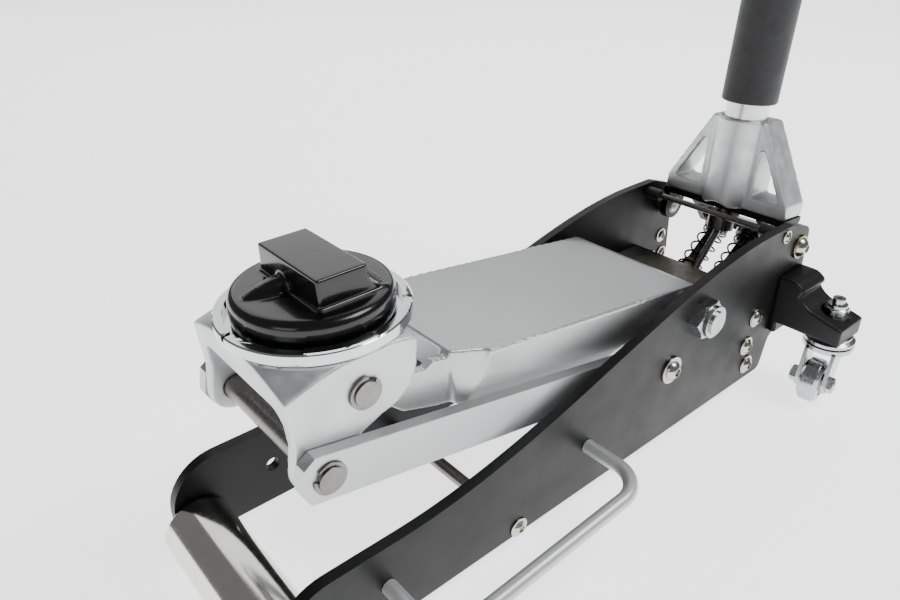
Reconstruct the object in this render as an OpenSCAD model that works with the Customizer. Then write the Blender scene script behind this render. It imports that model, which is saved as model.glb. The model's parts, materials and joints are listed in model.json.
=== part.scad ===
// Low-profile aluminium trolley jack with a parallel-link lifting arm, a swivelling saddle
// with a removable rubber pad, a two-plunger pump worked by the handle, and one carry handle.
// Millimetres. X runs from the front roller back to the casters, Y across the side plates
// (the carry handle is on the -Y side) and Z up from the ground.

/* [Side plates] */
// Clear distance between the two side plates
gap_w = 129; // [128:0.5:134]
// Thickness of each side plate
plate_t = 7.5; // [6:0.5:9]
// Height of the lower edge above the ground
plate_low = 10.5; // [9:0.5:12]
// Height of the plates over the front roller
plate_front_z = 71; // [68:1:74]
// Height of the plates at the handle pivot
plate_rear_z = 145; // [144:1:150]

/* [Front roller] */
// Radius of the one-piece steel roller
roller_r = 22.5; // [20:0.5:23]
// Radius of its axle
axle_r = 6; // [5:0.5:8]

/* [Lifting arm] */
// Rear pivot of the arm, distance behind the roller axis
arm_x = 349.4; // [345:0.2:352]
// Rear pivot of the arm, height
arm_z = 107; // [105:0.5:109]
// Distance between the arm's two pivots
arm_len = 289; // [286:0.5:292]
// Slope of the arm at the stored pose, in degrees
arm_tilt = 11.3; // [10:0.1:13]
// Half width of the arm's side walls, 13 below the pivot line
arm_half_w = 52.5; // [50:0.1:52.6]
// Outward draft of the side walls, sideways per unit of height
arm_draft = 0.18; // [0.1:0.01:0.18]
// Wall thickness of the arm
arm_t = 5; // [4:0.5:6]

/* [Parallel links] */
// Rear pivot of the links measured forward of the arm's pivot
link_dx = 30; // [29:0.5:33]
// Rear pivot of the links measured below the arm's pivot
link_dz = 34.5; // [34:0.1:37]
// Height of each flat bar
link_h = 29; // [26:1:30]
// Thickness of each flat bar
link_t = 8; // [6:0.5:8]

/* [Saddle and pad] */
// Saddle centre behind the arm's front pin
saddle_dx = 4.7; // [3:0.1:6]
// Height of the saddle's rim at the stored pose
saddle_top_z = 193.6; // [192:0.2:196]
// Outer radius of the saddle
saddle_r = 54.4; // [50:0.2:56]
// Radius of the rubber pad
pad_r = 45.5; // [44:0.5:48]
// Height of the pad's bar over the saddle's rim
pad_rise = 28.9; // [24:0.1:32]
// Length and width of the pad's bar
pad_bar_l = 62; // [50:1:66]
pad_bar_w = 31; // [26:1:34]

/* [Handle] */
// Handle pivot, distance behind the roller axis
pivot_x = 487.4; // [486:0.2:489]
// Handle pivot, height
pivot_z = 120.3; // [119:0.1:122]
// Backward lean of the handle at the stored pose, in degrees
handle_lean = 4.5; // [3:0.5:6]
// Outer radius of the handle tubes
tube_r = 17.5; // [17:0.5:19]
// Outer radius of the foam sleeve
sleeve_r = 22.5; // [21:0.5:25]
// Distance from the pivot to the end of the handle
handle_len = 930; // [880:10:960]

/* [Pump] */
// Angle of the two plungers above the horizontal, in degrees
plunger_tilt = 36; // [35:0.5:37]
// Half the distance between the plungers
plunger_y = 16; // [15.5:0.5:18]
// Bore radius of the lifting cylinder
ram_r = 17; // [15:0.5:18]

/* [Casters] */
// Swivel axis behind the roller axis
caster_x = 485; // [482:0.5:487]
// Swivel axis from the middle plane
caster_y = 115; // [113:0.5:116]
// Radius of the caster wheels
wheel_r = 19; // [17:0.5:19]
// Trail of the wheel behind its swivel axis
trail = 18; // [17:0.5:20]
// Angle that the casters are turned at the stored pose, in degrees
caster_turn = 8; // [0:1:12]

/* [Carry handle] */
// Front leg of the carry handle, behind the roller axis and above the ground
grab_x = 59; // [54:1:62]
grab_z = 40.6; // [39:0.2:42]
// Distance between its legs
grab_len = 170; // [165:1:175]
// Reach of its bar from the plate to the middle of the bar
grab_reach = 49; // [44:1:52]
// Radius of its rod
grab_r = 5; // [4.5:0.5:6]
// Rise of its bar towards the rear, in degrees
grab_tilt = 3.2; // [0:0.1:4]

/* [Hidden] */
$fn = 64;

// Clearances: a hole round a fixed shank, a running fit, and the space between moving faces
hole = 0.1;
run = 0.05;
gap = 0.3;

in_y = gap_w / 2;
out_y = in_y + plate_t;

// Arm: places along and across its pivot line, from the rear pivot
arm_dir = [-cos(arm_tilt), sin(arm_tilt)];
arm_nrm = [sin(arm_tilt), cos(arm_tilt)];
function on_arm(u, h) = [arm_x, arm_z] + u * arm_dir + h * arm_nrm;
front_pin = on_arm(arm_len, 0);
link_rear = [arm_x - link_dx, arm_z - link_dz];
link_front = link_rear + arm_len * arm_dir;
pin_r = 7.6;
crank = [-4, -41];
crank_r = 6;

link_in = arm_half_w + 0.5;
link_out = link_in + link_t;
cheek_out = link_in - 0.5;
cheek_in = cheek_out - 8;

saddle_x = front_pin[0] + saddle_dx;
saddle_h = 7.6;
seat_z = saddle_top_z - saddle_h;
stem_r = 16;
pad_top_z = saddle_top_z + pad_rise;

// Handle: places are given from the pivot, along the leaning axis
tube_wall = 2;
socket_top = 94;
socket_low = 19;
tube_low = 26;
joint_at = 520;
socket_r = 22;
yoke_half = 59;

// Pump: the plungers' direction and the middle of the face that they leave
pump_roller_arm = 27.2;
pump_roller_at = -18;
pump_roller_r = 6;
p_dir = [cos(plunger_tilt), sin(plunger_tilt)];
p_nrm = [-sin(plunger_tilt), cos(plunger_tilt)];
p_side = -24.5;
p_top = pump_roller_arm * cos(pump_roller_at - plunger_tilt) - pump_roller_r - 0.5;
p_len = 58;
p_face = [pivot_x, pivot_z] + p_side * p_nrm + (p_top - p_len) * p_dir;
plunger_r = 5;
guide_r = 8;
guide_h = 12;
cap_r = 11.5;
cap_h = 4;
spring_r = 10.4;
wire_r = 0.9;
spring_turns = 5;

housing_x = 378;
housing_top = 85;
housing_low = 14;
ram_z = 66;
ram_y = [0, ram_z];
rod_r = 13;
housing_bolts = [[436.3, 71.4], [429.6, 46.5], [435.6, 25.4]];
bracket_bolts = [[490, 84], [494, 64], [478, 64]];
stop_bar_at = [461, 137.2];
tie_rod_at = [163.7, 16.6];
grab_feet = [[0, 0], [grab_len * cos(grab_tilt), grab_len * sin(grab_tilt)]];

// Casters: heights of the swivel's parts
shelf_low = 58;
shelf_top = 73;
fork_top = 49.7;
fork_plate = 4;
axle_pin_r = 4;
stud_r = 5;

// The origin is on the ground under the middle of the whole jack
x_front = -roller_r;
x_rear = pivot_x + (handle_len - 3) * sin(handle_lean) + (tube_r + 3.5) * cos(handle_lean);
x_mid = (x_front + x_rear) / 2;

// ---- Helpers ----------------------------------------------------------------------------

module placed() { translate([-x_mid, 0, 0]) children(); }

// Draws its children at a place on side s (-1 is near), with their +Z pointing outward
module outward(s, at, y) { translate([at[0], s * y, at[1]]) rotate([-s * 90, 0, 0]) children(); }

// Draws its children on both sides of the middle plane
module both(at, y) { for (s = [-1, 1]) outward(s, at, y) children(); }

// A hole right across the jack
module across(at, r) {
    translate([at[0], 0, at[1]]) rotate([90, 0, 0]) cylinder(r = r, h = 400, center = true);
}

// An outline in X and Z, given a thickness from y0 to y1
module slab(y0, y1) { translate([0, y1, 0]) rotate([90, 0, 0]) linear_extrude(y1 - y0) children(); }

// Round bar along Y between y0 and y1
module bar_y(at, r, y0, y1) { translate([at[0], y0, at[1]]) rotate([-90, 0, 0]) cylinder(r = r, h = y1 - y0); }

// Ring along +Z
module ring(r_out, r_in, h) {
    difference() {
        cylinder(r = r_out, h = h);
        translate([0, 0, -1]) cylinder(r = r_in, h = h + 2);
    }
}

// Arc of points about a centre
function arc(c, r, a0, a1, n) = [for (i = [0 : n]) let (a = a0 + (a1 - a0) * i / n) c + r * [cos(a), sin(a)]];

// Corner b of the path a-b-c rounded to radius r
function corner(a, b, c, r, n = 6) =
    let (u = (a - b) / norm(a - b), v = (c - b) / norm(c - b), half = acos(u * v) / 2)
    let (m = (u + v) / norm(u + v), o = b + m * r / sin(half))
    let (p = b + u * r / tan(half), q = b + v * r / tan(half))
    let (a0 = atan2(p[1] - o[1], p[0] - o[0]), d = atan2(q[1] - o[1], q[0] - o[0]) - a0)
    let (turn = d > 180 ? d - 360 : d < -180 ? d + 360 : d)
    [for (i = [0 : n]) o + r * [cos(a0 + turn * i / n), sin(a0 + turn * i / n)]];

// Closed path with each corner given as [x, y, radius]
function rounded(p, n = 6) = [for (i = [0 : len(p) - 1])
    let (k = len(p), a = p[(i + k - 1) % k], b = p[i], c = p[(i + 1) % k])
    each (b[2] > 0 ? corner([a[0], a[1]], [b[0], b[1]], [c[0], c[1]], b[2], n) : [[b[0], b[1]]])];

// Button-head screw, head outward from z = 0, with a hexagon socket and a flange if asked
module button_screw(head_r, head_h, shank_r, length, socket_r = 0, flange = 0) {
    dome = (head_r * head_r + head_h * head_h) / (2 * head_h);
    difference() {
        union() {
            intersection() {
                translate([0, 0, head_h - dome]) sphere(r = dome);
                cylinder(r = head_r, h = head_h + 1);
            }
            if (length > 0) translate([0, 0, -length]) cylinder(r = shank_r, h = length + 0.5);
            if (flange > 0) cylinder(r = head_r + flange, h = 1.2);
        }
        if (socket_r > 0) translate([0, 0, head_h * 0.35]) cylinder(r = socket_r, h = head_h, $fn = 6);
    }
}

// Hexagon with chamfered corners, from z = 0 up
module hexagon(af, h) {
    r = af / sqrt(3);
    intersection() {
        cylinder(r = r, h = h, $fn = 6);
        union() {
            cylinder(r = r + 0.5, h = h - 1.5);
            translate([0, 0, h - 1.5]) cylinder(r1 = r, r2 = r - 2.2, h = 1.5);
        }
    }
}

// Self-locking nut with a collar at its outer end, over a stud of the same pitch radius
module lock_nut(af, h, stud) {
    difference() {
        union() {
            hexagon(af, h * 0.72);
            cylinder(r = af * 0.46, h = h);
        }
        translate([0, 0, -1]) cylinder(r = stud, h = h + 2);
    }
}

// Wire wound round Z: radius of the coil, height between end centres, turns and wire radius
module coil(r, h, turns, wire, sides = 8, steps = 26) {
    n = turns * steps;
    function at(i) = let (t = i / n) [r * cos(360 * turns * t), r * sin(360 * turns * t), h * t];
    ring_pts = [for (i = [0 : n]) let (a = 360 * turns * i / n)
        for (k = [0 : sides - 1]) let (b = 360 * k / sides)
            at(i) + wire * [cos(b) * cos(a), cos(b) * sin(a), sin(b)]];
    walls = [for (i = [0 : n - 1], k = [0 : sides - 1])
        let (k2 = (k + 1) % sides) [i * sides + k, (i + 1) * sides + k, (i + 1) * sides + k2, i * sides + k2]];
    start = [for (k = [0 : sides - 1]) k];
    finish = [for (k = [sides - 1 : -1 : 0]) n * sides + k];
    polyhedron(ring_pts, concat([start], walls, [finish]), convexity = 10);
}

// ---- Frame ------------------------------------------------------------------------------

// Height of the plates' upper edge, a smooth rise from the front level to the rear level
rise_x0 = 70;
rise_x1 = 440;
function plate_top(x) =
    let (t = min(1, max(0, (x - rise_x0) / (rise_x1 - rise_x0))))
    plate_front_z + (plate_rear_z - plate_front_z) * t * t * (3 - 2 * t);

plate_path = concat(
    arc([22, 37], plate_front_z - 37, 180, 90, 12),
    [for (x = [rise_x0 : 10 : rise_x1]) [x, plate_top(x)]],
    corner([440, plate_rear_z], [470, plate_rear_z], [496, plate_rear_z - 8.5], 12),
    corner([470, plate_rear_z], [500, plate_rear_z - 9.8], [503, 98], 10),
    corner([503, 120], [503, 60], [480, 47], 14),
    corner([503, 60], [467, 40], [462, 14], 10),
    corner([464, 30], [461, plate_low], [400, plate_low], 7),
    corner([60, plate_low], [-12, plate_low], [-12, 37], 13)
);

module side_plate(s) {
    y = s * (in_y + plate_t / 2);
    difference() {
        slab(y - plate_t / 2, y + plate_t / 2) polygon(plate_path);
        across([0, roller_r], axle_r + hole);
        across(tie_rod_at, 4 + hole);
        across(stop_bar_at, 2.5 + hole);
        across([arm_x, arm_z], 9 + hole);
        across(link_rear, 5 + hole);
        across([pivot_x, pivot_z], 6 + hole);
        for (p = housing_bolts) across(p, 4 + hole);
        for (p = bracket_bolts) across(p, 4 + hole);
        for (p = grab_feet) across([grab_x, grab_z] + p, 5 + hole);
        // Countersinks of the carry handle's screws
        if (s < 0) for (p = grab_feet)
            outward(1, [grab_x, grab_z] + p, -in_y - 3.2) cylinder(r1 = 5 + hole, r2 = 8.3, h = 3.5);
    }
}

module near_side_plate() { color("dimgray") side_plate(-1); }
module far_side_plate() { color("dimgray") side_plate(1); }

module front_axle() {
    color("silver") difference() {
        bar_y([0, roller_r], axle_r, -out_y, out_y);
        both([0, roller_r], out_y - 14) cylinder(r = 4 + hole, h = 20);
    }
}

module axle_screws() { color("silver") both([0, roller_r], out_y) button_screw(9, 4.5, 4, 12, 2.9); }

module front_roller() {
    half = in_y - 1.5;
    color("gainsboro") translate([0, 0, roller_r]) rotate([90, 0, 0]) rotate_extrude($fn = 96) polygon([
        [axle_r + run, -half], [roller_r - 1.5, -half], [roller_r, -half + 1.5],
        [roller_r, half - 1.5], [roller_r - 1.5, half], [axle_r + run, half]
    ]);
}

module tie_rod() {
    color("silver") difference() {
        bar_y(tie_rod_at, 4.8, -in_y, in_y);
        both(tie_rod_at, in_y - 14) cylinder(r = 4 + hole, h = 20);
    }
}

module tie_rod_screws() { color("silver") both(tie_rod_at, out_y) button_screw(6.2, 4.2, 4, 20, 2.8, 1); }

module stop_bar() { color("silver") bar_y(stop_bar_at, 2.5, -out_y, out_y); }

module stop_bar_sleeves() {
    color("black") both(stop_bar_at, in_y - 15) ring(5, 2.5 + hole, 15);
}

module stop_bar_screws() { color("silver") both(stop_bar_at, out_y) button_screw(5, 3.6, 2, 0, 2.2, 0.8); }

module carry_handle() {
    bend = 22;
    color("silver") translate([grab_x, -out_y, grab_z]) rotate([0, -grab_tilt, 0]) difference() {
        union() {
            for (m = [0, 1]) translate([m * grab_len, 0, 0]) mirror([m, 0, 0]) {
                rotate([90, 0, 0]) cylinder(r = grab_r, h = grab_reach - bend);
                translate([bend, -(grab_reach - bend), 0]) rotate([0, 0, 180])
                    rotate_extrude(angle = 90) translate([bend, 0]) circle(r = grab_r);
            }
            translate([bend, -grab_reach, 0]) rotate([0, 90, 0])
                cylinder(r = grab_r, h = grab_len - 2 * bend);
        }
        for (x = [0, grab_len]) translate([x, -16, 0]) rotate([-90, 0, 0]) cylinder(r = 3.5 + hole, h = 20);
    }
}

module carry_handle_screws() {
    color("silver") for (p = grab_feet) outward(1, [grab_x, grab_z] + p, -in_y - 3) {
        translate([0, 0, 0.2]) cylinder(r1 = 5, r2 = 7.8, h = 2.8);
        translate([0, 0, -17]) cylinder(r = 3.5, h = 17.5);
    }
}

// ---- Lifting arm ------------------------------------------------------------------------

module arm_pivot_bolt() {
    color("silver") {
        bar_y([arm_x, arm_z], 9, -out_y - 15, out_y);
        outward(1, [arm_x, arm_z], out_y) hexagon(27, 11);
    }
}

module arm_pivot_nut() { color("silver") outward(-1, [arm_x, arm_z], out_y) lock_nut(27, 13, 9 + hole); }

module arm_spacers() {
    inner = arm_half_w + 13 * arm_draft + 1.4;
    color("silver") both([arm_x, arm_z], inner) ring(14, 9 + hole, in_y - inner);
}

// Half width of the arm's outside at height h over the pivot line
function arm_y(h) = arm_half_w + (h + 13) * arm_draft;

// The arm's section across the jack, a channel open below; d shrinks it to its inside
module arm_section(d) {
    top = 40 - d;
    low = -60;
    polygon([
        [-arm_y(low) + d, low], [-arm_y(top) + d, top], [arm_y(top) - d, top], [arm_y(low) - d, low]
    ]);
}

// Extrudes a section drawn in Y and height along the arm, from u0 to u1
module along_arm(u0, u1) {
    translate([arm_x, 0, arm_z]) rotate([0, arm_tilt, 0])
        translate([-u1, 0, 0]) rotate([90, 0, 90]) linear_extrude(u1 - u0) children();
}

// Outline in places along the arm and in Y, extruded across the arm's depth
module arm_plan(path) {
    translate([arm_x, 0, arm_z]) rotate([0, arm_tilt, 0]) linear_extrude(200, center = true)
        polygon([for (p = path) [-p[0], p[1]]]);
}

// Outline in places along the arm and over its pivot line, made solid from y0 to y1
module arm_slab(y0, y1, path) { slab(y0, y1) polygon([for (p = path) on_arm(p[0], p[1])]); }

arm_top0 = 19.6;
arm_top_slope = -0.0613;
function arm_top(u) = arm_top0 + arm_top_slope * u;
deck_front = arm_len - 64;
arm_outer_path = concat(
    arc([0, 0], 19.6, 90, 262, 14),
    [[22, -19], [52, -19], [78, -32], [deck_front - 30, -32], [deck_front - 8, -30],
    [deck_front, arm_top(deck_front)], [0, arm_top0]]
);
tongue_path = concat(
    [[deck_front - 40, -31], [deck_front + 4, -30], [arm_len - 36, -27], [arm_len - 20, -17]],
    arc([arm_len, 0], 13.2, 250, 450, 14),
    [[arm_len - 28, 8], [arm_len - 36, -2], [arm_len - 48, -2], [arm_len - 53, arm_top(arm_len - 53) - 3],
    [deck_front - 6, arm_top(deck_front - 6) - arm_t]]
);
tongue_out = cheek_in - 1;

module lift_arm() {
    inner_path = concat(
        [[-30, arm_top0 + 1.8 - arm_t], [deck_front - arm_t, arm_top(deck_front - arm_t) - arm_t]],
        [[deck_front - arm_t, -80], [-30, -80]]
    );
    // Plan outlines, whose front corners run in to the two cheeks
    cut = 22;
    plan = [
        [-60, 70], [-60, -70], [deck_front - cut, -70], [deck_front - cut, -arm_half_w],
        [deck_front + 2, -tongue_out], [deck_front + 2, tongue_out], [deck_front - cut, arm_half_w],
        [deck_front - cut, 70]
    ];
    inner_plan = [
        [-60, 70], [-60, -70], [deck_front - cut - 3, -70], [deck_front - cut - 3, -arm_half_w + arm_t],
        [deck_front + 2, -tongue_out + 6], [deck_front + 2, tongue_out - 6],
        [deck_front - cut - 3, arm_half_w - arm_t], [deck_front - cut - 3, 70]
    ];
    color("lightgray") difference() {
        union() {
            // Drafted channel with a closed top
            difference() {
                intersection() {
                    along_arm(-30, deck_front + 1) arm_section(0);
                    arm_slab(-70, 70, arm_outer_path);
                    arm_plan(plan);
                }
                intersection() {
                    along_arm(-31, deck_front - arm_t) arm_section(arm_t);
                    arm_slab(-70, 70, inner_path);
                    arm_plan(inner_plan);
                }
            }
            // Two cheeks that carry the front pin
            for (s = [-1, 1]) arm_slab(
                min(s * tongue_out, s * (tongue_out - 6)), max(s * tongue_out, s * (tongue_out - 6)), tongue_path);
            // Tube round the front pin and bosses at the rear pivot
            bar_y(front_pin, 10.6, -tongue_out + 5.5, tongue_out - 5.5);
            for (s = [-1, 1]) bar_y([arm_x, arm_z], 15, min(s * 34, s * arm_y(0)), max(s * 34, s * arm_y(0)));
            // Crank lugs under the deck
            for (s = [-1, 1]) slab(min(s * 22, s * 30), max(s * 22, s * 30)) polygon(concat(
                arc([arm_x, arm_z] + crank, 11, 200, 340, 10),
                arc([arm_x, arm_z], 16, 20, 60, 6), [on_arm(20, 12)]
            ));
            for (s = [-1, 1]) bar_y([arm_x, arm_z], 15, min(s * 20, s * 35), max(s * 20, s * 35));
        }
        across([arm_x, arm_z], 11);
        both([arm_x, arm_z], arm_y(0)) cylinder(r = 16, h = 20);
        across([arm_x, arm_z] + crank, crank_r + hole);
        across(front_pin, pin_r + run);
    }
}

module arm_bushes() {
    y1 = arm_y(0) + 1;
    color("goldenrod") for (s = [-1, 1]) outward(s, [arm_x, arm_z], y1 - 1) {
        translate([0, 0, -34]) ring(11 - hole, 9 + run, 34);
        ring(14, 9 + run, 1);
    }
}

module crank_pin() { color("silver") bar_y([arm_x, arm_z] + crank, crank_r, -33, 33); }

// ---- Links ------------------------------------------------------------------------------

module link_bar(s) {
    path = concat(
        [link_rear - 17 * arm_dir + (link_h / 2 - 6) * arm_nrm, link_rear - 11 * arm_dir + link_h / 2 * arm_nrm],
        [link_front + 10 * arm_dir + link_h / 2 * arm_nrm, link_front + 15.8 * arm_dir + (link_h / 2 - 6) * arm_nrm],
        [link_front + 15.8 * arm_dir - 6 * arm_nrm, link_front + 9 * arm_dir - link_h / 2 * arm_nrm],
        [link_rear - 11 * arm_dir - link_h / 2 * arm_nrm],
        [link_rear - 17 * arm_dir - (link_h / 2 - 6) * arm_nrm]
    );
    difference() {
        slab(min(s * link_in, s * link_out), max(s * link_in, s * link_out)) polygon(path);
        across(link_rear, 7 + run);
        across(link_front, pin_r + run);
    }
}

module near_link() { color("lightgray") link_bar(-1); }
module far_link() { color("lightgray") link_bar(1); }

module link_bolts() {
    color("silver") both(link_rear, out_y + 2) button_screw(7.6, 5.5, 5, out_y + 2 - link_in + 7, 3.4);
}
module link_washers() { color("silver") both(link_rear, out_y) ring(11, 5 + hole, 2); }
module link_nuts() { color("silver") both(link_rear, link_in - 7) difference() {
    hexagon(15, 6.5);
    translate([0, 0, -1]) cylinder(r = 5 + hole, h = 10);
} }

// Shouldered bush: the link turns on it, and its flange keeps the link off the plate
module link_spacers() {
    color("goldenrod") both(link_rear, link_in - 0.4) {
        ring(7, 5 + hole, link_t + 0.8);
        translate([0, 0, link_t + 0.8]) ring(12, 5 + hole, in_y - link_out - 0.4);
    }
}

// ---- Saddle bracket ---------------------------------------------------------------------

// Cheek outline: level seat above, the link pin's boss below, swept rear edge
module cheek_outline() {
    fx = front_pin[0];
    fz = front_pin[1];
    polygon(concat(
        [[fx - 46, seat_z]],
        [[fx - 43, fz - 16]],
        arc(link_front, 15.5, 175, 300, 12),
        [[fx - 3, fz - 25], [fx + 10, fz - 19.5]],
        arc([fx + 8, fz + 7.5], 27, 290, 350, 8),
        [[fx + 35.6, seat_z - 6], [fx + 35.6, seat_z]]
    ));
}

module saddle_bracket() {
    fx = front_pin[0];
    fz = front_pin[1];
    front_x = fx - 46;
    color("lightgray") difference() {
        // The top falls away from the saddle's rim towards the corners
        intersection() {
            slab(-cheek_out, cheek_out) cheek_outline();
            translate([saddle_x, 0, seat_z]) rotate_extrude($fn = 96) polygon([
                [0, -100], [130, -100], [130, -0.5 * (130 - saddle_r + 1)], [saddle_r - 1, 0], [0, 0]
            ]);
        }
        // Room for the arm between the cheeks, and the arch under the front wall
        translate([front_x + 9, -cheek_in, 0]) cube([150, 2 * cheek_in, seat_z - 8]);
        translate([front_x - 20, 0, 0]) rotate([90, 0, 90]) linear_extrude(60) polygon(rounded([
            [-cheek_in, fz - 60, 0], [cheek_in, fz - 60, 0], [cheek_in, fz + 3, 9],
            [-cheek_in, fz + 3, 9]
        ]));
        across(front_pin, pin_r + hole);
        across(link_front, pin_r + hole);
        translate([saddle_x, 0, seat_z - 20]) cylinder(r = stem_r + run, h = 40);
    }
}

pin_end_up = cheek_out + 3.4;
pin_end_low = link_out + 2.8;
module grooved_pin(at, y) {
    difference() {
        bar_y(at, pin_r, -y, y);
        both(at, y - 2.4) ring(pin_r + 1, pin_r - 0.9, 1.2);
    }
}
module bracket_upper_pin() { color("silver") grooved_pin(front_pin, pin_end_up); }
module bracket_lower_pin() { color("silver") grooved_pin(link_front, pin_end_low); }

// Spring clips in the pins' grooves, open on one side
module pin_clip() {
    difference() {
        ring(pin_r + 2.2, pin_r - 0.8, 1);
        translate([0, -2.5, -1]) cube([20, 5, 4]);
    }
}
module pin_clips() {
    color("dimgray") {
        both(front_pin, pin_end_up - 2.3) rotate([0, 0, 60]) pin_clip();
        both(link_front, pin_end_low - 2.3) rotate([0, 0, 150]) pin_clip();
    }
}

module saddle() {
    rim_in = saddle_r - 5.4;
    slot_at = [-35, 37, 109, 181];
    tooth_at = [-126, 54];
    color("gainsboro") difference() {
        union() {
            translate([saddle_x, 0, seat_z]) rotate_extrude($fn = 120) polygon([
                [0, 0], [saddle_r - 1.2, 0], [saddle_r, 1.2], [saddle_r, saddle_h - 0.8],
                [saddle_r - 0.8, saddle_h], [rim_in, saddle_h], [rim_in, 3], [0, 3]
            ]);
            translate([saddle_x, 0, seat_z - 11.3]) cylinder(r = stem_r, h = 11.8);
            // Low teeth on the rim
            for (a = tooth_at) translate([saddle_x, 0, seat_z + saddle_h - 1])
                rotate([0, 0, a]) rotate_extrude(angle = 42)
                    translate([rim_in, 0]) square([saddle_r - rim_in - 0.6, 1.9]);
        }
        // Grip slots cut into the rim
        for (a = slot_at) translate([saddle_x, 0, seat_z]) rotate([0, 0, a])
            translate([rim_in - 2, -1.6, 4.4]) cube([12, 3.2, 10]);
        translate([saddle_x, 0, seat_z - 20]) cylinder(r = 9 + gap, h = 40);
        translate([saddle_x, 0, seat_z - 10.6]) ring(stem_r + 1, stem_r - 1.2, 1.6);
    }
}

module saddle_clip() {
    color("dimgray") translate([saddle_x, 0, seat_z - 10.5]) difference() {
        ring(stem_r + 2, stem_r - 1.1, 1.4);
        translate([0, -4, -1]) cube([30, 8, 4]);
    }
}

// Rubber pad: round disc with a bar across it, flared behind and ribbed in front
module jack_pad() {
    base = seat_z + 3;
    disc_top = saddle_top_z + 12;
    shoulder = 5;
    rib_l = 27;
    rib_h = 8;
    bar_x0 = -14;
    bar_x1 = bar_x0 + pad_bar_w;
    flare = pad_top_z - disc_top - 5;
    color([0.08, 0.08, 0.085]) translate([saddle_x, 0, 0]) {
        rotate_extrude($fn = 120) polygon(concat(
            [[0, base], [pad_r - 0.6, base], [pad_r, base + 4]],
            arc([pad_r - shoulder, disc_top - shoulder], shoulder, 0, 90, 8),
            [[0, disc_top]]
        ));
        translate([0, 0, base - 11]) cylinder(r = 9, h = 12);
        slab(-pad_bar_l / 2, pad_bar_l / 2) polygon(concat(
            [[bar_x0, disc_top - 2], [bar_x0, pad_top_z], [bar_x1, pad_top_z]],
            arc([bar_x1 + flare, pad_top_z - 4], flare, 180, 270, 6),
            [[bar_x1 + flare, disc_top - 2]]
        ));
        // Pointed rib up the front of the bar
        translate([bar_x0 - rib_l, 6, disc_top - 1]) rotate([0, 90, 0]) rotate_extrude() polygon(concat(
            [for (i = [0 : 8]) [rib_h * sin(90 * i / 8), rib_l * i / 8]], [[rib_h, rib_l + 4], [0, rib_l + 4]]
        ));
    }
}

// ---- Pump -------------------------------------------------------------------------------

housing_path = [
    [housing_x, housing_low], [housing_x + 64, housing_low],
    p_face - 20 * p_nrm, p_face + (housing_top - p_face[1]) / p_nrm[1] * p_nrm,
    [housing_x, housing_top]
];
release_dir = [cos(47.3), sin(47.3)];
release_len = 52.5;
release_low = [pivot_x, pivot_z] - release_len * release_dir;

// Draws along a direction in the X-Z plane, +Z of the children following it
module along(at, angle, y = 0) { translate([at[0], y, at[1]]) rotate([0, 90 - angle, 0]) children(); }

module pump_housing() {
    color([0.36, 0.34, 0.31]) difference() {
        slab(-in_y, in_y) polygon(housing_path);
        // Lifting cylinder
        translate([housing_x - 1, 0, ram_z]) rotate([0, 90, 0]) cylinder(r = ram_r + run, h = 53);
        translate([housing_x - 1, 0, ram_z]) rotate([0, 90, 0]) cylinder(r = ram_r + 3.1, h = 7);
        // Plunger bores, deep enough for the whole stroke
        for (s = [-1, 1]) along(p_face, plunger_tilt, s * plunger_y) {
            translate([0, 0, -44]) cylinder(r = plunger_r + 0.4, h = 50);
            translate([0, 0, -8]) cylinder(r = 7 + hole, h = 12);
        }
        // Release valve bore
        along(release_low, 47.3) translate([0, 0, -16]) cylinder(r = 3 + run, h = 60);
        along(release_low, 47.3) translate([0, 0, 6]) cylinder(r = 8, h = 60);
        for (p = housing_bolts) both(p, in_y - 16) cylinder(r = 4 + hole, h = 30);
        // Filler and relief valve
        translate([housing_x + 26, 38, housing_top - 9]) cylinder(r = 5 + hole, h = 12);
        translate([housing_x + 26, -38, housing_top - 9]) cylinder(r = 6 + hole, h = 12);
    }
}

module housing_screws() {
    color("silver") for (p = housing_bolts) both(p, out_y) button_screw(7, 5, 4, 22, 3.3, 1.4);
}

module filler_plug() {
    color("black") translate([housing_x + 26, 38, housing_top]) {
        translate([0, 0, -8]) cylinder(r = 5, h = 8);
        cylinder(r = 7, h = 2.5);
    }
}

module relief_valve_cap() {
    color("goldenrod") translate([housing_x + 26, -38, housing_top]) difference() {
        union() {
            translate([0, 0, -8]) cylinder(r = 6, h = 8);
            hexagon(14, 4);
        }
        translate([-10, -0.8, 2.6]) cube([20, 1.6, 5]);
    }
}

module ram_gland() {
    color("silver") translate([housing_x - 1, 0, ram_z]) rotate([0, 90, 0]) ring(ram_r + 3, rod_r + run, 6);
}

// Ram: piston, rod and an open yoke that pushes the crank pin
ram_pin_x = arm_x + crank[0];
module lift_ram() {
    yoke_in = 7.4;
    color("silver") difference() {
        union() {
            translate([ram_pin_x + 12, 0, ram_z]) rotate([0, 90, 0]) cylinder(r = rod_r, h = 54);
            translate([ram_pin_x + 64, 0, ram_z]) rotate([0, 90, 0]) cylinder(r = ram_r, h = 8.2);
            translate([ram_pin_x - 13, -19, ram_z - 22]) cube([26.5, 38, 48]);
        }
        slab(-30, 30) polygon(concat(
            arc([ram_pin_x, ram_z - 9], yoke_in, 180, 360, 12), arc([ram_pin_x, ram_z + 16], yoke_in, 0, 180, 12)
        ));
    }
}

module plunger_guides() {
    color([0.45, 0.36, 0.26]) for (s = [-1, 1]) along(p_face, plunger_tilt, s * plunger_y) difference() {
        union() {
            translate([0, 0, -7]) cylinder(r = 7, h = 8);
            hexagon(2 * guide_r * 0.98, 7);
            cylinder(r = guide_r - 0.8, h = guide_h);
        }
        translate([0, 0, -9]) cylinder(r = plunger_r + run, h = 30);
    }
}

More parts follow.
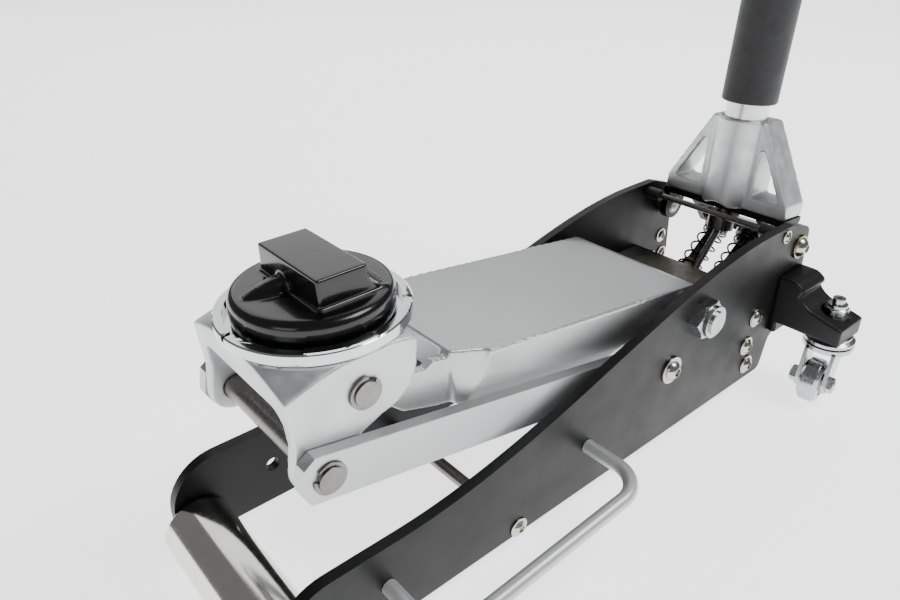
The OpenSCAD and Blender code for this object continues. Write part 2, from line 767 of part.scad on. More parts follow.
module pump_plungers() {
    color([0.25, 0.23, 0.22]) for (s = [-1, 1]) along(p_face, plunger_tilt, s * plunger_y) {
        translate([0, 0, -10]) cylinder(r = plunger_r, h = p_len + 10);
        translate([0, 0, p_len - cap_h - 1]) cylinder(r = cap_r, h = cap_h);
        translate([0, 0, p_len - cap_h - 9]) cylinder(r = 7.4, h = 9);
    }
}

spring_len = p_len - 1 - cap_h - 0.6;
module plunger_spring(s) {
    color([0.12, 0.12, 0.13]) along(p_face, plunger_tilt, s * plunger_y)
        translate([0, 0, wire_r + 0.3]) coil(spring_r, spring_len - 2 * wire_r, spring_turns, wire_r);
}
module near_plunger_spring() { plunger_spring(-1); }
module far_plunger_spring() { plunger_spring(1); }

// Release valve spindle with a ball and cross pin on the handle's pivot axis
module release_spindle() {
    color("silver") {
        along(release_low, 47.3) translate([0, 0, -14]) cylinder(r = 3, h = release_len + 14);
        translate([pivot_x, 0, pivot_z]) sphere(r = 5.4);
        bar_y([pivot_x, pivot_z], 1.5, -11, 11);
    }
}

// ---- Handle socket ----------------------------------------------------------------------

// Draws in the handle's own frame: origin at the pivot, +Z along the leaning tube
module on_handle() { translate([pivot_x, 0, pivot_z]) rotate([0, handle_lean, 0]) children(); }

frame_x0 = -10;
frame_x1 = 19;
module handle_socket() {
    low = socket_low + 0.2;
    top = socket_top;
    color("lightgray") on_handle() difference() {
        union() {
            // Triangular frame
            translate([frame_x0, 0, 0]) rotate([90, 0, 90]) linear_extrude(frame_x1 - frame_x0) polygon(rounded([
                [-yoke_half, low, 3], [yoke_half, low, 3], [yoke_half - 0.6, low + 12, 5],
                [23.5, top, 4], [-23.5, top, 4], [-yoke_half + 0.6, low + 12, 5]
            ]));
            translate([0, 0, low]) cylinder(r = socket_r, h = top - low);
        }
        // Shallow arch under the middle, and windows on both sides of the tube boss
        translate([-60, 0, low - 14]) rotate([0, 90, 0]) cylinder(r = 17, h = 64 + frame_x0);
        for (s = [-1, 1]) translate([-40, 0, 0]) rotate([90, 0, 90]) linear_extrude(80) polygon(
            rounded([for (p = [[25, low + 12, 2], [50.5, low + 12, 2], [25.5, top - 17, 2]])
                [s * p[0], p[1], p[2]]]));
        translate([0, 0, 0]) cylinder(r = tube_r + run, h = 200);
        // Thread for the clamping bolt
        translate([0, 0, low + 40]) rotate([0, 90, 0]) cylinder(r = 4 + hole, h = 60);
        for (s = [-1, 1], x = [-2, 11]) translate([x, s * 44, low - 1]) cylinder(r = 2.5 + hole, h = 12);
    }
}

// Steel lever under the socket: plate, pivot lugs and the lugs that hold the pump roller
lever_t = 5;
roller_place = pump_roller_arm * [cos(pump_roller_at + handle_lean), sin(pump_roller_at + handle_lean)];
module pump_lever() {
    z1 = socket_low;
    z0 = z1 - lever_t;
    color([0.1, 0.1, 0.1]) on_handle() difference() {
        union() {
            translate([frame_x0, -yoke_half, z0]) cube([frame_x1 - frame_x0, 2 * yoke_half, lever_t]);
            for (s = [-1, 1]) slab(min(s * yoke_half, s * (yoke_half - 7)), max(s * yoke_half, s * (yoke_half - 7)))
                polygon(concat([[frame_x1, z1 - 1], [frame_x0, z1 - 1]], arc([0, 0], 13, 180, 360, 14)));
            for (s = [-1, 1]) slab(min(s * 29, s * 35), max(s * 29, s * 35))
                polygon(concat([[frame_x0 + 4, z1 - 1]], arc(roller_place, 8, 225, 380, 12), [[frame_x1, z1 - 1]]));
        }
        rotate([90, 0, 0]) cylinder(r = 8 + run, h = 300, center = true);
        translate([roller_place[0], 0, roller_place[1]]) rotate([90, 0, 0])
            cylinder(r = 3.5 + hole, h = 80, center = true);
        translate([0, 0, z0 - 1]) cylinder(r = 7.5, h = 20);
        for (s = [-1, 1], x = [-2, 11]) translate([x, s * 44, z0 - 1]) cylinder(r = 2.5 + hole, h = 12);
    }
}

module socket_screws() {
    color("silver") on_handle() {
        for (s = [-1, 1], x = [-2, 11]) translate([x, s * 44, socket_low - lever_t]) rotate([180, 0, 0])
            button_screw(4.6, 2.8, 2.5, lever_t + 9, 1.7);
        // Clamping bolt that keeps the tube in the socket
        translate([0, 0, socket_low + 40.2]) rotate([0, 90, 0]) {
            translate([0, 0, tube_r - 0.9]) cylinder(r = 4, h = 14);
            translate([0, 0, socket_r + 1]) hexagon(13, 6);
        }
    }
}

module pump_roller() {
    color("silver") on_handle() translate([roller_place[0], 0, roller_place[1]]) rotate([90, 0, 0]) {
        cylinder(r = 3.5, h = 72, center = true);
        cylinder(r = pump_roller_r, h = 56, center = true);
    }
}

// Shoulder bolts on which the lever turns
module socket_bolts() {
    color("silver") both([pivot_x, pivot_z], out_y + 1.8)
        button_screw(8.4, 6, 6, out_y + 1.8 - yoke_half + 8, 3.4);
}
module socket_spacers() {
    color("goldenrod") both([pivot_x, pivot_z], yoke_half - 7.4) {
        ring(8, 6 + hole, 7.8);
        translate([0, 0, 7.8]) ring(11, 6 + hole, in_y - yoke_half - 0.4);
    }
    color("silver") both([pivot_x, pivot_z], out_y) ring(10.4, 6 + hole, 1.8);
}

// ---- Handle -----------------------------------------------------------------------------

module lower_handle_tube() {
    color("silver") on_handle() difference() {
        translate([0, 0, tube_low]) cylinder(r = tube_r, h = joint_at - tube_low);
        translate([0, 0, tube_low - 1]) cylinder(r = tube_r - tube_wall, h = joint_at);
        // Groove for the clamping bolt
        translate([0, 0, socket_low + 40.2 - 5]) ring(tube_r + 1, tube_r - 1.1, 10);
    }
}

module foam_sleeve() {
    color([0.16, 0.16, 0.17]) on_handle() translate([0, 0, 107]) rotate_extrude() polygon([
        [tube_r + hole, 0], [sleeve_r - 1, 0], [sleeve_r, 1], [sleeve_r, 359], [sleeve_r - 1, 360],
        [tube_r + hole, 360]
    ]);
}

// Upper tube with a reduced spigot that plugs into the lower tube, and its spring button
module upper_handle_tube() {
    spigot = tube_r - tube_wall - 0.15;
    color("silver") on_handle() {
        difference() {
            union() {
                translate([0, 0, joint_at + 0.4]) cylinder(r = tube_r, h = handle_len - 5 - joint_at);
                translate([0, 0, joint_at - 60]) cylinder(r = spigot, h = 62);
            }
            translate([0, 0, joint_at - 61]) cylinder(r = spigot - tube_wall, h = handle_len);
        }
    }
}

module handle_grip() {
    color([0.1, 0.1, 0.1]) on_handle() difference() {
        translate([0, 0, handle_len - 140]) rotate_extrude() polygon(concat(
            [[0, 0], [tube_r + 2.5, 0]],
            [for (i = [0 : 9], p = [[3.5, 4], [3.5, 10], [2.6, 11], [2.6, 13]]) [tube_r + p[0], i * 13.4 + p[1]]],
            [[tube_r + 3.5, 137], [tube_r + 1, 140], [0, 140]]
        ));
        translate([0, 0, handle_len - 145]) cylinder(r = tube_r + hole, h = 140.6);
    }
}

// Fork in the tube's foot that turns the release valve's cross pin
module release_drive() {
    color("dimgray") on_handle() difference() {
        union() {
            translate([0, 0, tube_low + 2]) cylinder(r = tube_r - tube_wall - hole, h = 12);
            translate([0, 0, 8]) cylinder(r = 7, h = 22);
            translate([0, 0, -5]) cylinder(r = 13, h = 14);
        }
        translate([0, 0, -6]) cylinder(r = 9, h = 13);
        translate([-3, -20, -6]) cube([6, 40, 12]);
    }
}

// ---- Casters ----------------------------------------------------------------------------

// Outrigger casting: bolted to the plate, dropping in an S to a level shelf
module caster_bracket(s) {
    y0 = out_y;
    flange = [[y0, shelf_low - 10], [y0, 100.5], [y0 + 11, 100.5]];
    curve = concat(
        arc([y0 + 11, 86.5], 14, 90, 30, 6),
        arc([y0 + 40, 103.5], 25, 218, 262, 6)
    );
    shelf = [[131, shelf_top], [131, shelf_low], [y0 + 6, shelf_low], [y0 + 6, shelf_low - 10]];
    difference() {
        union() {
            translate([463, 0, 0]) rotate([90, 0, 90]) linear_extrude(37)
                polygon([for (p = concat(flange, curve, shelf)) [s * p[0], p[1]]]);
            slab(min(s * y0, s * (y0 + 6)), max(s * y0, s * (y0 + 6))) polygon(rounded([
                [463, 49, 4], [486, 49, 10], [503, 60, 6], [503, 99, 4], [463, 99, 6]
            ]));
        }
        translate([caster_x, s * caster_y, 0]) cylinder(r = stud_r + hole, h = 200);
        translate([caster_x, s * caster_y, shelf_top]) cylinder(r = 11.5, h = 40);
        for (p = bracket_bolts) outward(s, p, y0 - 1) cylinder(r = 4 + hole, h = 10);
    }
}
module caster_brackets() { color([0.09, 0.09, 0.09]) for (s = [-1, 1]) caster_bracket(s); }

module caster_bracket_bolts() {
    color("silver") for (p = bracket_bolts, s = [-1, 1])
        outward(-s, p, -in_y) button_screw(6.2, 4, 4, plate_t + 8, 2.8, 0.6);
}

// Fixed stud, upper race and lock nut of each swivel
module caster_studs() {
    color("silver") for (s = [-1, 1]) translate([caster_x, s * caster_y, 0]) {
        difference() {
            translate([0, 0, fork_top - fork_plate - 2.5]) cylinder(r = stud_r, h = 90 - fork_top + fork_plate + 2.5);
            translate([0, 0, 89]) cylinder(r = 2, h = 2);
        }
        translate([0, 0, fork_top - fork_plate - 5]) cylinder(r = 8, h = 4.7);
        translate([0, 0, fork_top + gap]) rotate_extrude() polygon([
            [stud_r - 0.5, 0], [18, 0], [20, 1.5], [20, 4], [17, 6], [17, shelf_low - fork_top - gap],
            [stud_r - 0.5, shelf_low - fork_top - gap]
        ]);
        translate([0, 0, shelf_top]) cylinder(r = 10, h = 1.6);
        translate([0, 0, shelf_top + 1.6]) hexagon(17, 8);
        translate([0, 0, shelf_top + 1.6]) cylinder(r = 7.6, h = 10.4);
    }
}

// Draws in a caster's own frame: origin on the swivel axis, wheel behind it along -X
module in_caster(s) {
    translate([caster_x, s * caster_y, 0]) mirror([0, s > 0 ? 1 : 0, 0]) rotate([0, 0, caster_turn]) children();
}

module caster_fork(s) {
    plate_low_z = fork_top - fork_plate;
    leg_y = 9.2;
    leg_t = 3;
    color("silver") in_caster(s) {
        difference() {
            union() {
                translate([0, 0, plate_low_z]) cylinder(r = 20, h = fork_plate);
                for (m = [-1, 1]) slab(min(m * leg_y, m * (leg_y + leg_t)), max(m * leg_y, m * (leg_y + leg_t)))
                    polygon(concat(
                        [[16, plate_low_z + 1], [-19, plate_low_z + 1]], arc([-trail, wheel_r], 9, 165, 325, 10)
                    ));
            }
            translate([0, 0, 30]) cylinder(r = stud_r + run, h = 40);
            translate([-trail, 0, wheel_r]) rotate([90, 0, 0]) cylinder(r = axle_pin_r - 0.5, h = 60, center = true);
        }
        translate([-trail, 0, wheel_r]) rotate([90, 0, 0]) {
            cylinder(r = axle_pin_r, h = 30, center = true);
            translate([0, 0, leg_y + leg_t]) hexagon(12, 5.5);
            mirror([0, 0, 1]) translate([0, 0, leg_y + leg_t]) hexagon(12, 6.5);
        }
    }
}
module near_caster_fork() { caster_fork(-1); }
module far_caster_fork() { caster_fork(1); }

module caster_wheel(s) {
    half = 8;
    color("gainsboro") in_caster(s) translate([-trail, 0, wheel_r]) rotate([90, 0, 0])
        rotate_extrude($fn = 72) polygon([
            [axle_pin_r + run, -half - 0.9], [8, -half - 0.9], [8, -half + 1], [12, -half + 1],
            [12.5, -half], [wheel_r - 3.5, -half], [wheel_r, -half + 3], [wheel_r, half - 3],
            [wheel_r - 3.5, half], [12.5, half], [12, half - 1], [8, half - 1], [8, half + 0.9],
            [axle_pin_r + run, half + 0.9]
        ]);
}
module near_caster_wheel() { caster_wheel(-1); }
module far_caster_wheel() { caster_wheel(1); }

// ---- Nodes ------------------------------------------------------------------------------

placed() near_side_plate();
placed() far_side_plate();
placed() front_axle();
placed() axle_screws();
placed() front_roller();
placed() tie_rod();
placed() tie_rod_screws();
placed() stop_bar();
placed() stop_bar_sleeves();
placed() stop_bar_screws();
placed() carry_handle();
placed() carry_handle_screws();
placed() arm_pivot_bolt();
placed() arm_pivot_nut();
placed() arm_spacers();
placed() lift_arm();
placed() arm_bushes();
placed() crank_pin();
placed() near_link();
placed() far_link();
placed() link_bolts();
placed() link_washers();
placed() link_nuts();
placed() link_spacers();
placed() saddle_bracket();
placed() bracket_upper_pin();
placed() bracket_lower_pin();
placed() pin_clips();
placed() saddle();
placed() saddle_clip();
placed() jack_pad();
placed() pump_housing();
placed() housing_screws();
placed() filler_plug();
placed() relief_valve_cap();
placed() ram_gland();
placed() lift_ram();
placed() plunger_guides();
placed() pump_plungers();
placed() near_plunger_spring();
placed() far_plunger_spring();
placed() release_spindle();
placed() handle_socket();
placed() pump_lever();
placed() socket_screws();
placed() socket_bolts();
placed() socket_spacers();
placed() pump_roller();
placed() lower_handle_tube();
placed() foam_sleeve();
placed() upper_handle_tube();
placed() handle_grip();
placed() release_drive();
placed() caster_brackets();
placed() caster_bracket_bolts();
placed() caster_studs();
placed() near_caster_fork();
placed() far_caster_fork();
placed() near_caster_wheel();
placed() far_caster_wheel();
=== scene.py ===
"""Studio scene of a low-profile trolley jack: finishes, rounded edges and moulded skins on the CAD
frame, wound springs, a pale floor and soft light. Metres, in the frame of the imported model."""
import json
import math

import bpy
from mathutils import Matrix, Vector


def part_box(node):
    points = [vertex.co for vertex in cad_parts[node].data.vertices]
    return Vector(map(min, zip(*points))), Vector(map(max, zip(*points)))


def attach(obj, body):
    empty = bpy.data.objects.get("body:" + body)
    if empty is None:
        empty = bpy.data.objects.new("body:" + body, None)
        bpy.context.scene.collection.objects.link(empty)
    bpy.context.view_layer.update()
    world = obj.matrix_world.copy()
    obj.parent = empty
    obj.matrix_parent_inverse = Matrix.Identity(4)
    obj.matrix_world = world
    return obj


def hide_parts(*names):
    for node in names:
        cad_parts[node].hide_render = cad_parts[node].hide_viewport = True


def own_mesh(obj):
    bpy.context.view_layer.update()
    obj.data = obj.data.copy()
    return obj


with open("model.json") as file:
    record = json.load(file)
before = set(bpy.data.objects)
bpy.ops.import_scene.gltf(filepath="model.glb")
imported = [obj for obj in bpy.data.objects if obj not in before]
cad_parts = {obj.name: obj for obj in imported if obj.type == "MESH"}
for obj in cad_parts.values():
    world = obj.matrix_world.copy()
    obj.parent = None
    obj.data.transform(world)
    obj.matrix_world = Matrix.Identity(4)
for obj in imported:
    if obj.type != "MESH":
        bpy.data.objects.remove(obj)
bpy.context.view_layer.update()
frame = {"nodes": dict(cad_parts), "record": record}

MM = 0.001
NODES = frame["nodes"]


# ---- Node helpers ------------------------------------------------------------------------


class Shader:
    """A Principled material with short calls for the textures that vary it."""

    def __init__(self, name, **inputs):
        """inputs are sockets of the shader, with _ for a space in their names."""
        self.mat = bpy.data.materials.new(name)
        self.mat.use_nodes = True
        self.tree = self.mat.node_tree
        self.bsdf = self.tree.nodes["Principled BSDF"]
        for key, value in inputs.items():
            self.bsdf.inputs[key.replace("_", " ")].default_value = value
        self.coords = self.tree.nodes.new("ShaderNodeTexCoord")

    def link(self, out, node, name):
        self.tree.links.new(out, node.inputs[name])

    def place(self, stretch, turn=(0, 0, 0)):
        node = self.tree.nodes.new("ShaderNodeMapping")
        node.inputs["Scale"].default_value = stretch
        node.inputs["Rotation"].default_value = turn
        self.link(self.coords.outputs["Object"], node, "Vector")
        return node.outputs["Vector"]

    def noise(self, scale, detail=4.0, roughness=0.55, stretch=(1, 1, 1), turn=(0, 0, 0)):
        node = self.tree.nodes.new("ShaderNodeTexNoise")
        node.inputs["Scale"].default_value = scale
        node.inputs["Detail"].default_value = detail
        node.inputs["Roughness"].default_value = roughness
        self.link(self.place(stretch, turn), node, "Vector")
        return node.outputs["Fac"]

    def cells(self, scale):
        node = self.tree.nodes.new("ShaderNodeTexVoronoi")
        node.inputs["Scale"].default_value = scale
        self.link(self.coords.outputs["Object"], node, "Vector")
        return node.outputs["Distance"]

    def spread(self, fac, low, high, start=0.3, end=0.7):
        """fac from start to end, taken to low to high."""
        node = self.tree.nodes.new("ShaderNodeMapRange")
        for name, value in zip(("From Min", "From Max", "To Min", "To Max"), (start, end, low, high)):
            node.inputs[name].default_value = value
        self.link(fac, node, "Value")
        return node.outputs["Result"]

    def colours(self, fac, *stops):
        """Base colour from a ramp over fac; stops are (place, (r, g, b))."""
        node = self.tree.nodes.new("ShaderNodeValToRGB")
        ramp = node.color_ramp
        while len(ramp.elements) < len(stops):
            ramp.elements.new(0.5)
        for element, (place, rgb) in zip(ramp.elements, stops):
            element.position = place
            element.color = (*rgb, 1)
        self.link(fac, node, "Fac")
        self.link(node.outputs["Color"], self.bsdf, "Base Color")

    def rough(self, fac, low, high, start=0.3, end=0.7):
        self.link(self.spread(fac, low, high, start, end), self.bsdf, "Roughness")

    def bumps(self, *layers):
        """Layers of (height, distance in metres, strength), one over the other."""
        normal = None
        for height, distance, strength in layers:
            node = self.tree.nodes.new("ShaderNodeBump")
            node.inputs["Distance"].default_value = distance
            node.inputs["Strength"].default_value = strength
            self.link(height, node, "Height")
            if normal:
                self.link(normal, node, "Normal")
            normal = node.outputs["Normal"]
        self.link(normal, self.bsdf, "Normal")


def shades(rgb, spread):
    """Three ramp stops round a colour, from darker to lighter."""
    steps = ((0.25, -1), (0.5, 0), (0.75, 1))
    return [(place, tuple(min(1.0, c * (1 + k * spread)) for c in rgb)) for place, k in steps]


# ---- Materials ---------------------------------------------------------------------------


def powder_coat(name, rgb, rough=0.42, grain=900, height=0.12 * MM, gloss=0.3):
    """Satin paint with a fine orange-peel skin."""
    s = Shader(name, Specular_IOR_Level=gloss)
    cloud = s.noise(14, 3)
    s.colours(cloud, *shades(rgb, 0.14))
    s.rough(s.noise(45, 5), rough - 0.05, rough + 0.07)
    s.bumps((s.noise(grain, 2), height, 0.35), (s.noise(grain * 3.1, 1), height * 0.4, 0.25))
    return s.mat


def metallic_paint(name, rgb, rough=0.36, metallic=0.85, grain=1500):
    """Silver paint whose flakes show as a fine glitter."""
    s = Shader(name, Metallic=metallic)
    flakes = s.noise(grain, 2, 0.7)
    cloud = s.noise(9, 4)
    mixed = s.tree.nodes.new("ShaderNodeMath")
    mixed.operation = "MULTIPLY_ADD"
    mixed.inputs[1].default_value = 0.55
    s.link(flakes, mixed, 0)
    s.link(s.spread(cloud, 0.1, 0.34), mixed, 2)
    s.colours(mixed.outputs[0], *shades(rgb, 0.12))
    s.rough(flakes, rough - 0.07, rough + 0.1)
    s.bumps((s.noise(260, 3), 0.08 * MM, 0.12), (flakes, 0.03 * MM, 0.2))
    return s.mat


def cast_metal(name, rgb, rough=0.42, metallic=0.8, height=0.18 * MM):
    """Bead-blasted or as-cast surface, with a coarse and a fine grain."""
    s = Shader(name, Metallic=metallic)
    s.colours(s.noise(30, 6), *shades(rgb, 0.16))
    s.rough(s.noise(120, 4), rough - 0.08, rough + 0.1)
    s.bumps((s.noise(420, 4, 0.65), height, 0.3), (s.cells(1500), height * 0.3, 0.2))
    return s.mat


def bare_metal(name, rgb, rough=0.2, spread=0.1, stretch=(1, 1, 1), grain=600, height=0.02 * MM):
    """Turned, brushed or plated metal; stretch sets the direction of its fine lines."""
    s = Shader(name, Metallic=1.0)
    lines = s.noise(grain, 3, 0.6, stretch)
    s.colours(s.noise(40, 5), *shades(rgb, spread))
    s.rough(lines, max(0.02, rough * 0.65), rough * 1.4)
    s.bumps((lines, height, 0.3), (s.noise(90, 3), height * 2, 0.15))
    return s.mat


def plated(name, rgb, rough=0.16):
    """Bright zinc with the faint gold and blue cast of its passivation."""
    s = Shader(name, Metallic=1.0)
    warm = tuple(c * k for c, k in zip(rgb, (1.06, 1.0, 0.9)))
    cool = tuple(c * k for c, k in zip(rgb, (0.93, 0.98, 1.05)))
    s.colours(s.noise(70, 3), (0.3, cool), (0.5, rgb), (0.7, warm))
    s.rough(s.noise(320, 4), rough * 0.6, rough * 1.7)
    s.bumps((s.noise(500, 3), 0.03 * MM, 0.2), (s.noise(60, 2), 0.08 * MM, 0.12))
    return s.mat


def urethane(name):
    """Moulded black polyurethane: glossy, with flow marks and light scuffs."""
    s = Shader(name, Coat_Weight=0.35, Coat_Roughness=0.06, Specular_IOR_Level=0.3)
    s.colours(s.noise(25, 4), *shades((0.004, 0.004, 0.0045), 0.35))
    s.rough(s.noise(60, 6, 0.7), 0.12, 0.28)
    s.bumps((s.noise(35, 2), 0.2 * MM, 0.12), (s.noise(700, 3), 0.03 * MM, 0.25))
    return s.mat


def foam(name, rgb=(0.034, 0.034, 0.037)):
    """Closed-cell foam with small open pores."""
    s = Shader(name, Specular_IOR_Level=0.35, Sheen_Weight=0.25, Sheen_Roughness=0.4)
    s.colours(s.noise(180, 5), *shades(rgb, 0.25))
    s.rough(s.noise(90, 3), 0.55, 0.75)
    s.bumps((s.cells(1100), 0.25 * MM, 0.3), (s.noise(130, 3), 0.2 * MM, 0.15))
    return s.mat


def plastic(name, rgb, rough=0.45):
    """Matt moulded plastic or rubber."""
    s = Shader(name)
    s.colours(s.noise(80, 3), *shades(rgb, 0.2))
    s.rough(s.noise(200, 3), rough - 0.07, rough + 0.1)
    s.bumps((s.noise(900, 2), 0.06 * MM, 0.25), (s.noise(60, 2), 0.1 * MM, 0.1))
    return s.mat


def oiled_iron(name):
    """Grey-brown cast iron under a film of oil."""
    s = Shader(name, Metallic=0.55, Coat_Weight=0.25, Coat_Roughness=0.2)
    dark, middle, light = (0.08, 0.07, 0.06), (0.16, 0.145, 0.125), (0.24, 0.22, 0.19)
    s.colours(s.noise(55, 6), (0.3, dark), (0.5, middle), (0.75, light))
    s.rough(s.noise(140, 4), 0.28, 0.55)
    s.bumps((s.noise(240, 5, 0.65), 0.3 * MM, 0.35), (s.noise(1100, 2), 0.06 * MM, 0.2))
    return s.mat


# Stretch of the brush lines on the handle tubes
ALONG_TUBE = (0.35, 0.35, 6)

# Material slot of the record, and its finish
FINISHES = {
    "charcoal_paint": powder_coat("charcoal_powder_coat", (0.006, 0.006, 0.0065), 0.4, gloss=0.22),
    "black_casting": powder_coat("black_casting_paint", (0.003, 0.003, 0.0033), 0.42, 500, 0.3 * MM),
    "silver_paint": metallic_paint("silver_paint", (0.5, 0.505, 0.515), 0.34),
    "silver_painted_steel": metallic_paint("silver_link_paint", (0.5, 0.51, 0.52), 0.34),
    "cast_bracket": cast_metal("satin_cast_aluminium", (0.62, 0.63, 0.64)),
    "polished_zinc": bare_metal("polished_roller", (0.72, 0.71, 0.69), 0.13, 0.06, (1, 30, 1), 60),
    "chrome": bare_metal("chrome", (0.62, 0.63, 0.64), 0.1, 0.06, (1, 1, 20), 90),
    "dark_steel": bare_metal("dull_steel", (0.22, 0.21, 0.2), 0.34, 0.2, (1, 12, 1), 140),
    "bronze": bare_metal("oiled_bronze", (0.3, 0.23, 0.15), 0.3, 0.25),
    "black_oxide_steel": bare_metal("black_oxide", (0.07, 0.067, 0.065), 0.28, 0.3),
    "spring_wire": bare_metal("spring_wire", (0.05, 0.05, 0.052), 0.3, 0.3),
    "nickel": bare_metal("nickel_plate", (0.5, 0.475, 0.43), 0.19, 0.1),
    "zinc": plated("zinc_plate", (0.44, 0.46, 0.47), 0.2),
    "satin_aluminium": metallic_paint("satin_aluminium", (0.6, 0.6, 0.61), 0.38, 0.5),
    "brushed_tube": bare_metal("brushed_tube", (0.68, 0.68, 0.68), 0.25, 0.05, ALONG_TUBE, 160, 0.03 * MM),
    "pump_casting": oiled_iron("oiled_iron"),
    "black_urethane": urethane("black_urethane"),
    "foam": foam("foam_skin", (0.03, 0.03, 0.032)),
    "grip_rubber": plastic("grip_rubber", (0.02, 0.02, 0.021), 0.6),
    "black_plastic": plastic("black_plastic", (0.02, 0.02, 0.021)),
}


def paint_nodes():
    """Gives each CAD node the finish of its material slot."""
    for part in frame["record"]["subparts"]:
        mesh = NODES[part["node"]].data
        mesh.materials.clear()
        mesh.materials.append(FINISHES[part["material_slot"]])


# ---- Rounded edges -----------------------------------------------------------------------

# Edge radius in millimetres, where it differs from that of small turned parts
EDGE = {
    "near_side_plate": 0.7, "far_side_plate": 0.7, "near_link": 1.0, "far_link": 1.0, "saddle": 0.5,
    "pump_housing": 0.9, "pump_lever": 0.6, "foam_sleeve": 0.8, "carry_handle": 0.3,
}
PLAIN_EDGE = 0.35
EDGE_SEGMENTS = 3
# Corners are merged below this distance, faces below this angle, and edges rounded over the last
MERGE = 0.002 * MM
FLAT_ANGLE = math.radians(0.6)
SHARP_ANGLE = math.radians(34)
# Nodes that keep their plain mesh, because wound wires replace them
UNROUNDED = ("near_plunger_spring", "far_plunger_spring")


def round_edges(obj, radius):
    """Joins the CAD's flat facets, rounds the sharp edges and shades the rest smooth."""
    weld = obj.modifiers.new("weld", "WELD")
    weld.merge_threshold = MERGE
    flat = obj.modifiers.new("flat", "DECIMATE")
    flat.decimate_type = "DISSOLVE"
    flat.angle_limit = FLAT_ANGLE
    bevel = obj.modifiers.new("edges", "BEVEL")
    bevel.width = radius * MM
    bevel.segments = EDGE_SEGMENTS
    bevel.limit_method = "ANGLE"
    bevel.angle_limit = SHARP_ANGLE
    bevel.miter_outer = "MITER_ARC"
    normals = obj.modifiers.new("normals", "WEIGHTED_NORMAL")
    normals.weight = 100
    normals.keep_sharp = True
    obj.data.shade_smooth()


# Cast and moulded pieces: size of the remeshed faces in millimetres, and passes of smoothing
MOULDED = {
    "jack_pad": (0.8, 14), "saddle_bracket": (0.9, 9), "handle_socket": (1.0, 7), "caster_brackets": (0.9, 8),
    "lift_arm": (1.2, 5),
}


def mould(obj, face, passes):
    """Gives a casting or a rubber part the soft edges of its mould."""
    remesh = obj.modifiers.new("skin", "REMESH")
    remesh.mode = "VOXEL"
    remesh.voxel_size = face * MM
    remesh.use_smooth_shade = True
    smooth = obj.modifiers.new("soften", "SMOOTH")
    smooth.factor = 0.5
    smooth.iterations = passes


def round_nodes():
    """Rounds every node by the way it is made: wound, moulded or machined."""
    for name, obj in NODES.items():
        if name in UNROUNDED:
            obj.data.shade_smooth()
        elif name in MOULDED:
            mould(obj, *MOULDED[name])
        else:
            round_edges(obj, EDGE.get(name, PLAIN_EDGE))


# ---- Plunger springs ---------------------------------------------------------------------

PLUNGER_TILT = math.radians(36)
SPRING_AXIS = Vector((math.cos(PLUNGER_TILT), 0, math.sin(PLUNGER_TILT)))
SPRING_LENGTH = 53 * MM
WIRE = 0.95 * MM
COIL = 10.4 * MM
TURNS = 6
# Turns that lie closed at each end, and how far the wire climbs over a whole closed spring
CLOSED_TURNS = 0.75
CLOSED_CLIMB = 12 * WIRE
SPRING_STEPS = 240


def spring_curve(foot):
    """Points of a compression spring with closed ends, wound round its axis from its foot."""
    across = Vector((0, 1, 0))
    third = SPRING_AXIS.cross(across)
    edge = CLOSED_TURNS / TURNS
    open_length = SPRING_LENGTH - 2 * WIRE - 2 * edge * CLOSED_CLIMB
    points = []
    for i in range(SPRING_STEPS + 1):
        t = i / SPRING_STEPS
        turn = 2 * math.pi * TURNS * t
        open_part = min(max((t - edge) / (1 - 2 * edge), 0), 1)
        closed_part = min(t, edge) + max(t - 1 + edge, 0)
        height = WIRE + closed_part * CLOSED_CLIMB + open_part * open_length
        round_axis = COIL * (across * math.cos(turn) + third * math.sin(turn))
        points.append(foot + SPRING_AXIS * height + round_axis)
    return points


def wire_mesh(name, points):
    """Mesh of a round wire that follows the points."""
    curve = bpy.data.curves.new(name + "_path", "CURVE")
    curve.dimensions = "3D"
    curve.bevel_depth = WIRE
    curve.bevel_resolution = 3
    curve.use_fill_caps = True
    line = curve.splines.new("POLY")
    line.points.add(len(points) - 1)
    for point, place in zip(line.points, points):
        point.co = (*place, 1)
    path = bpy.data.objects.new(name + "_path", curve)
    bpy.context.scene.collection.objects.link(path)
    depsgraph = bpy.context.evaluated_depsgraph_get()
    mesh = bpy.data.meshes.new_from_object(path.evaluated_get(depsgraph))
    bpy.data.objects.remove(path)
    mesh.materials.clear()
    mesh.shade_smooth()
    return mesh


def add_springs():
    """Puts a wound wire over each plunger, fixed to the frame."""
    for side in ("near", "far"):
        node = side + "_plunger_spring"
        low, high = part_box(node)
        foot = (low + high) / 2 - SPRING_AXIS * (SPRING_LENGTH / 2)
        name = side + "_spring_wire"
        mesh = wire_mesh(name, spring_curve(foot))
        mesh.materials.append(FINISHES["spring_wire"])
        wire = bpy.data.objects.new(name, mesh)
        bpy.context.scene.collection.objects.link(wire)
        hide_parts(node)
        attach(wire, "frame")
        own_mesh(wire)


# ---- Camera, floor and light -------------------------------------------------------------

roller_low, roller_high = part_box("front_roller")
# On the ground under the roller's axle, in the middle plane
ORIGIN = Vector(((roller_low.x + roller_high.x) / 2, 0, 0))

CAMERA_PLACE = ORIGIN + Vector((-0.1014, -0.3258, 0.3959))
CAMERA_AZIMUTH, CAMERA_PITCH, CAMERA_ROLL = (math.radians(a) for a in (-39.53, 29.38, -0.97))
LENS_MM = 30.25

FLOOR_HALF = 14.0
FLOOR_COLOUR = (0.9, 0.9, 0.9)
FLOOR_GLOW = 1.9
WORLD_STRENGTH = 0.2

LIGHT_TARGET = ORIGIN + Vector((0.25, 0, 0.1))
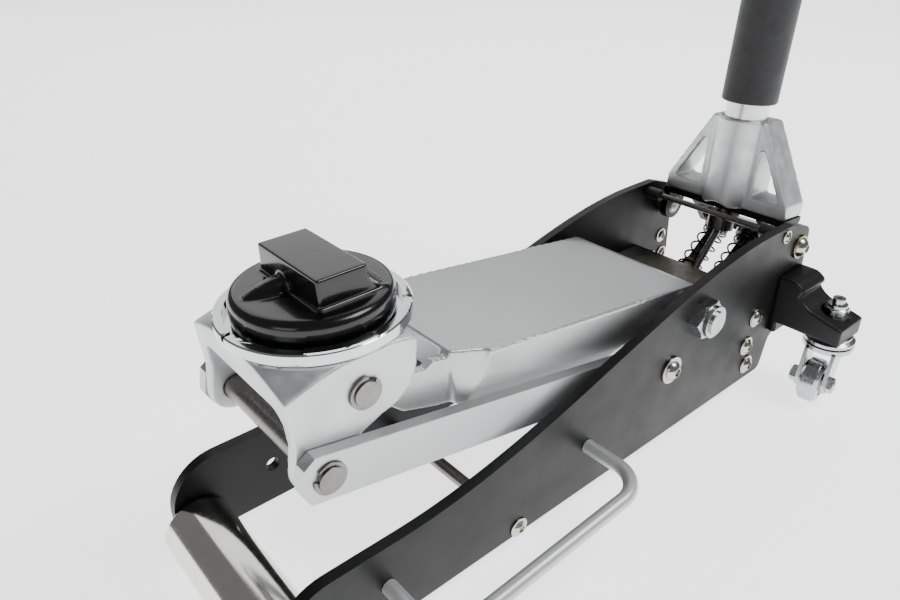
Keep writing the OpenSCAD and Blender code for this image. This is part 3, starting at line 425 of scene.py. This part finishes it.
# Name, place from the target, width and height, and watts
LIGHTS = (
    ("key", (0.9, -0.9, 1.8), (1.0, 1.0), 34),
    ("back", (1.1, 1.7, 1.5), (3.0, 1.8), 24),
    ("front", (-2.0, -0.7, 0.8), (1.0, 0.8), 5),
)


def add_camera():
    """Looks down over the saddle from in front of the near side plate."""
    level = math.cos(CAMERA_PITCH)
    back = Vector((
        math.sin(CAMERA_AZIMUTH) * level, -math.cos(CAMERA_AZIMUTH) * level, math.sin(CAMERA_PITCH)
    ))
    right = (-back).cross(Vector((0, 0, 1))).normalized()
    up = right.cross(-back)
    turned = right * math.cos(CAMERA_ROLL) + up * math.sin(CAMERA_ROLL)
    upright = up * math.cos(CAMERA_ROLL) - right * math.sin(CAMERA_ROLL)
    data = bpy.data.cameras.new("camera")
    data.lens = LENS_MM
    data.clip_start = 0.01
    camera = bpy.data.objects.new("camera", data)
    bpy.context.scene.collection.objects.link(camera)
    facing = Matrix((turned, upright, back)).transposed().to_4x4()
    camera.matrix_world = Matrix.Translation(CAMERA_PLACE) @ facing
    bpy.context.scene.camera = camera


def add_floor():
    """A wide sheet of bright paper on the ground."""
    mesh = bpy.data.meshes.new("floor")
    corners = [(x * FLOOR_HALF, y * FLOOR_HALF, 0) for x, y in ((-1, -1), (1, -1), (1, 1), (-1, 1))]
    mesh.from_pydata(corners, [], [(0, 1, 2, 3)])
    floor = bpy.data.objects.new("floor", mesh)
    bpy.context.scene.collection.objects.link(floor)
    s = Shader(
        "floor_paper", Roughness=0.6, Specular_IOR_Level=0.1, Emission_Color=(1, 1, 1, 1),
        Emission_Strength=FLOOR_GLOW
    )
    s.colours(s.noise(2, 2), *shades(FLOOR_COLOUR, 0.01))
    mesh.materials.append(s.mat)


def area_light(name, offset, size, power):
    """A soft box at a place measured from the target, which it faces."""
    data = bpy.data.lights.new(name, "AREA")
    data.shape = "RECTANGLE"
    data.size, data.size_y = size
    data.energy = power
    light = bpy.data.objects.new(name, data)
    bpy.context.scene.collection.objects.link(light)
    light.location = LIGHT_TARGET + Vector(offset)
    light.visible_camera = False
    light.rotation_euler = (-Vector(offset)).to_track_quat("-Z", "Y").to_euler()


def add_light():
    """A dim white surround and three soft boxes."""
    world = bpy.data.worlds.new("studio")
    world.use_nodes = True
    background = world.node_tree.nodes["Background"]
    background.inputs["Color"].default_value = (1, 1, 1, 1)
    background.inputs["Strength"].default_value = WORLD_STRENGTH
    bpy.context.scene.world = world
    for light in LIGHTS:
        area_light(*light)


paint_nodes()
round_nodes()
add_springs()
add_floor()
add_light()
add_camera()
